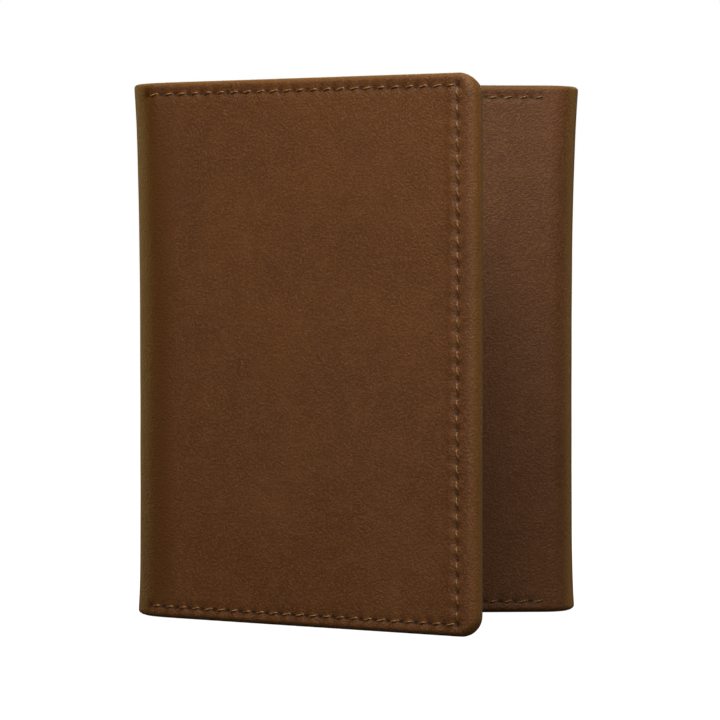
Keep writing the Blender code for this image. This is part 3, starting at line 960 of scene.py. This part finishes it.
# %% Cut the card pockets
POCKET_CORNER = 2.0 * MM
CREASER = 1.5 * MM
POCKET_SEAM = 1.6 * MM                   # seam in from the closed sides
SEAM_START = 1.2 * MM                    # seam back from the mouth
SEAM_GAP = 0.6 * MM                      # and short of the next pocket's mouth
POCKET_GRID = (56, 48)
MOUTH_CROWD = 1.6                        # above 1, the grid is finer near the mouth
CREASE_DEEP = 0.09 * MM
CREASE_WIDE = 0.3 * MM
MOUTH_BOW = 0.09 * MM
BOW_REACH = 18 * MM


def rounded(x, z, low, high, radius):
    """Pull a rectangle's points in, so that its corners become quarter circles."""
    cx = np.clip(x, low[0] + radius, high[0] - radius)
    cz = np.clip(z, low[2] + radius, high[2] - radius)
    dx, dz = x - cx, z - cz
    length = np.hypot(dx, dz)
    longer = np.maximum(np.abs(dx), np.abs(dz))
    share = np.divide(longer, length, out=np.ones_like(length), where=length > 1e-9)
    return cx + dx * share, cz + dz * share


def set_down(x, y, z, pivot, degrees):
    """Places drawn on the closed wallet, turned with their flap to the rest pose."""
    return np.stack([*turned((x, y), pivot, degrees), z], axis=-1)


def pocket(name, node, body, pivot, degrees, card_side):
    """card_side is +1 where the cards lie towards +Y on the closed wallet, else -1."""
    low, high = closed_box(node, pivot, degrees)
    face = high[1] if card_side > 0 else low[1]

    def place(u, v):
        across = (1 - u if card_side > 0 else u) ** MOUTH_CROWD * (high[0] - low[0])
        x, z = rounded(low[0] + across, low[2] + v * (high[2] - low[2]), low, high, POCKET_CORNER)
        pressed = CREASE_DEEP * np.exp(-((across - CREASER) / CREASE_WIDE) ** 2)
        bow = MOUTH_BOW * np.sin(np.pi * v) * np.exp(-across / BOW_REACH)
        return set_down(x, face + card_side * (bow - pressed), z, pivot, degrees)

    sheet = place_grid(name, *POCKET_GRID, place, high[1] - low[1], POCKET_LEATHER, soften=0.12 * MM)
    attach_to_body(sheet, body)
    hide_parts(node)
    return low, high, face


def pocket_group(prefix, body, pivot, degrees, card_side):
    boxes = [pocket(f"{prefix}_pocket_{i}", f"{prefix}_card_pocket_{i}", body, pivot, degrees, card_side)
             for i in (1, 2, 3)]
    routes = []
    for i, (low, high, face) in enumerate(boxes):
        bottom, top = low[2] + POCKET_SEAM, high[2] - POCKET_SEAM
        start = low[0] + SEAM_START
        if i == 2:
            end = high[0] - POCKET_SEAM
            paths = [[(start, bottom), (end, bottom), (end, top), (start, top)]]
        else:
            end = boxes[i + 1][0][0] - SEAM_GAP
            paths = [[(start, bottom), (end, bottom)], [(start, top), (end, top)]]
        for path in paths:
            points = strokes(path)
            routes.append(set_down(points[:, 0], face + card_side * points[:, 2], points[:, 1],
                                   pivot, degrees))
    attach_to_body(thread_tube(f"{prefix}_pocket_thread", routes), body)
    print(prefix, "pockets", [round((b[1][0] - b[0][0]) / MM, 1) for b in boxes], "mm deep")


pocket_group("centre", "centre_panel", right_pivot, 0.0, -1)
pocket_group("front_flap", "front_flap", front_pivot, FRONT_ANGLE, 1)

# %% [markdown]
# ## Identity window
# The inner flap holds a clear vinyl sheet behind a leather frame. The opening's corners are
# rounded, so that they don't tear, and a seam runs round it 1.8 mm from the edge.

# %% Cut the window
WINDOW = (40.0 * MM, 66.0 * MM)
WINDOW_CORNER = 3.0 * MM
WINDOW_SEAM = 1.8 * MM
ROUND_STEPS = 8
FILM_WAVE = 0.03 * MM


def round_outline(centre, width, height, radius):
    """Points round a rectangle with rounded corners, anticlockwise, the first repeated at the end."""
    points = []
    for k, (sx, sz) in enumerate(((1, 1), (-1, 1), (-1, -1), (1, -1))):
        cx = centre[0] + sx * (width / 2 - radius)
        cz = centre[1] + sz * (height / 2 - radius)
        for j in range(ROUND_STEPS + 1):
            a = (k + j / ROUND_STEPS) * math.pi / 2
            points.append((cx + radius * math.cos(a), cz + radius * math.sin(a)))
    points.append(points[0])
    return np.array(points)


frame_low, frame_high = closed_box("id_window_frame", right_pivot, INNER_ANGLE)
frame_mid = ((frame_low[0] + frame_high[0]) / 2, (frame_low[2] + frame_high[2]) / 2)
frame_size = (frame_high[0] - frame_low[0], frame_high[2] - frame_low[2])
opening = round_outline(frame_mid, *WINDOW, WINDOW_CORNER)
outline = round_outline(frame_mid, *frame_size, POCKET_CORNER)


def window_band(u, v):
    """u runs round the frame and v from its opening to its outline."""
    k = np.rint(u * (len(opening) - 1)).astype(int)
    flat = opening[k] + (outline[k] - opening[k]) * v[:, None]
    return set_down(flat[:, 0], np.full(len(flat), frame_high[1]), flat[:, 1], right_pivot, INNER_ANGLE)


window_frame = place_grid("window_frame", len(opening) - 1, 6, window_band, frame_high[1] - frame_low[1],
                          POCKET_LEATHER, soften=0.15 * MM, join_ends=True)
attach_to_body(window_frame, "inner_flap")
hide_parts("id_window_frame")
seam_path = round_outline(frame_mid, WINDOW[0] + 2 * WINDOW_SEAM, WINDOW[1] + 2 * WINDOW_SEAM,
                          WINDOW_CORNER + WINDOW_SEAM)
stitches = strokes(seam_path)
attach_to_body(thread_tube("window_thread", [set_down(stitches[:, 0], frame_high[1] + stitches[:, 2],
                                               stitches[:, 1], right_pivot, INNER_ANGLE)]), "inner_flap")

film_low, film_high = closed_box("id_window_film", right_pivot, INNER_ANGLE)


def film_place(u, v):
    """A film that rises and falls by a few hundredths of a millimetre."""
    x = film_low[0] + (1 - u) * (film_high[0] - film_low[0])
    z = film_low[2] + v * (film_high[2] - film_low[2])
    wave = FILM_WAVE * np.sin(2.2 * np.pi * u) * np.sin(1.7 * np.pi * v)
    return set_down(x, film_high[1] + wave, z, right_pivot, INNER_ANGLE)


film = place_grid("window_film", 30, 40, film_place, film_high[1] - film_low[1], FILM)
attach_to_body(film, "inner_flap")
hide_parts("id_window_film")
print("window is", round(WINDOW[0] / MM), "x", round(WINDOW[1] / MM), "mm")
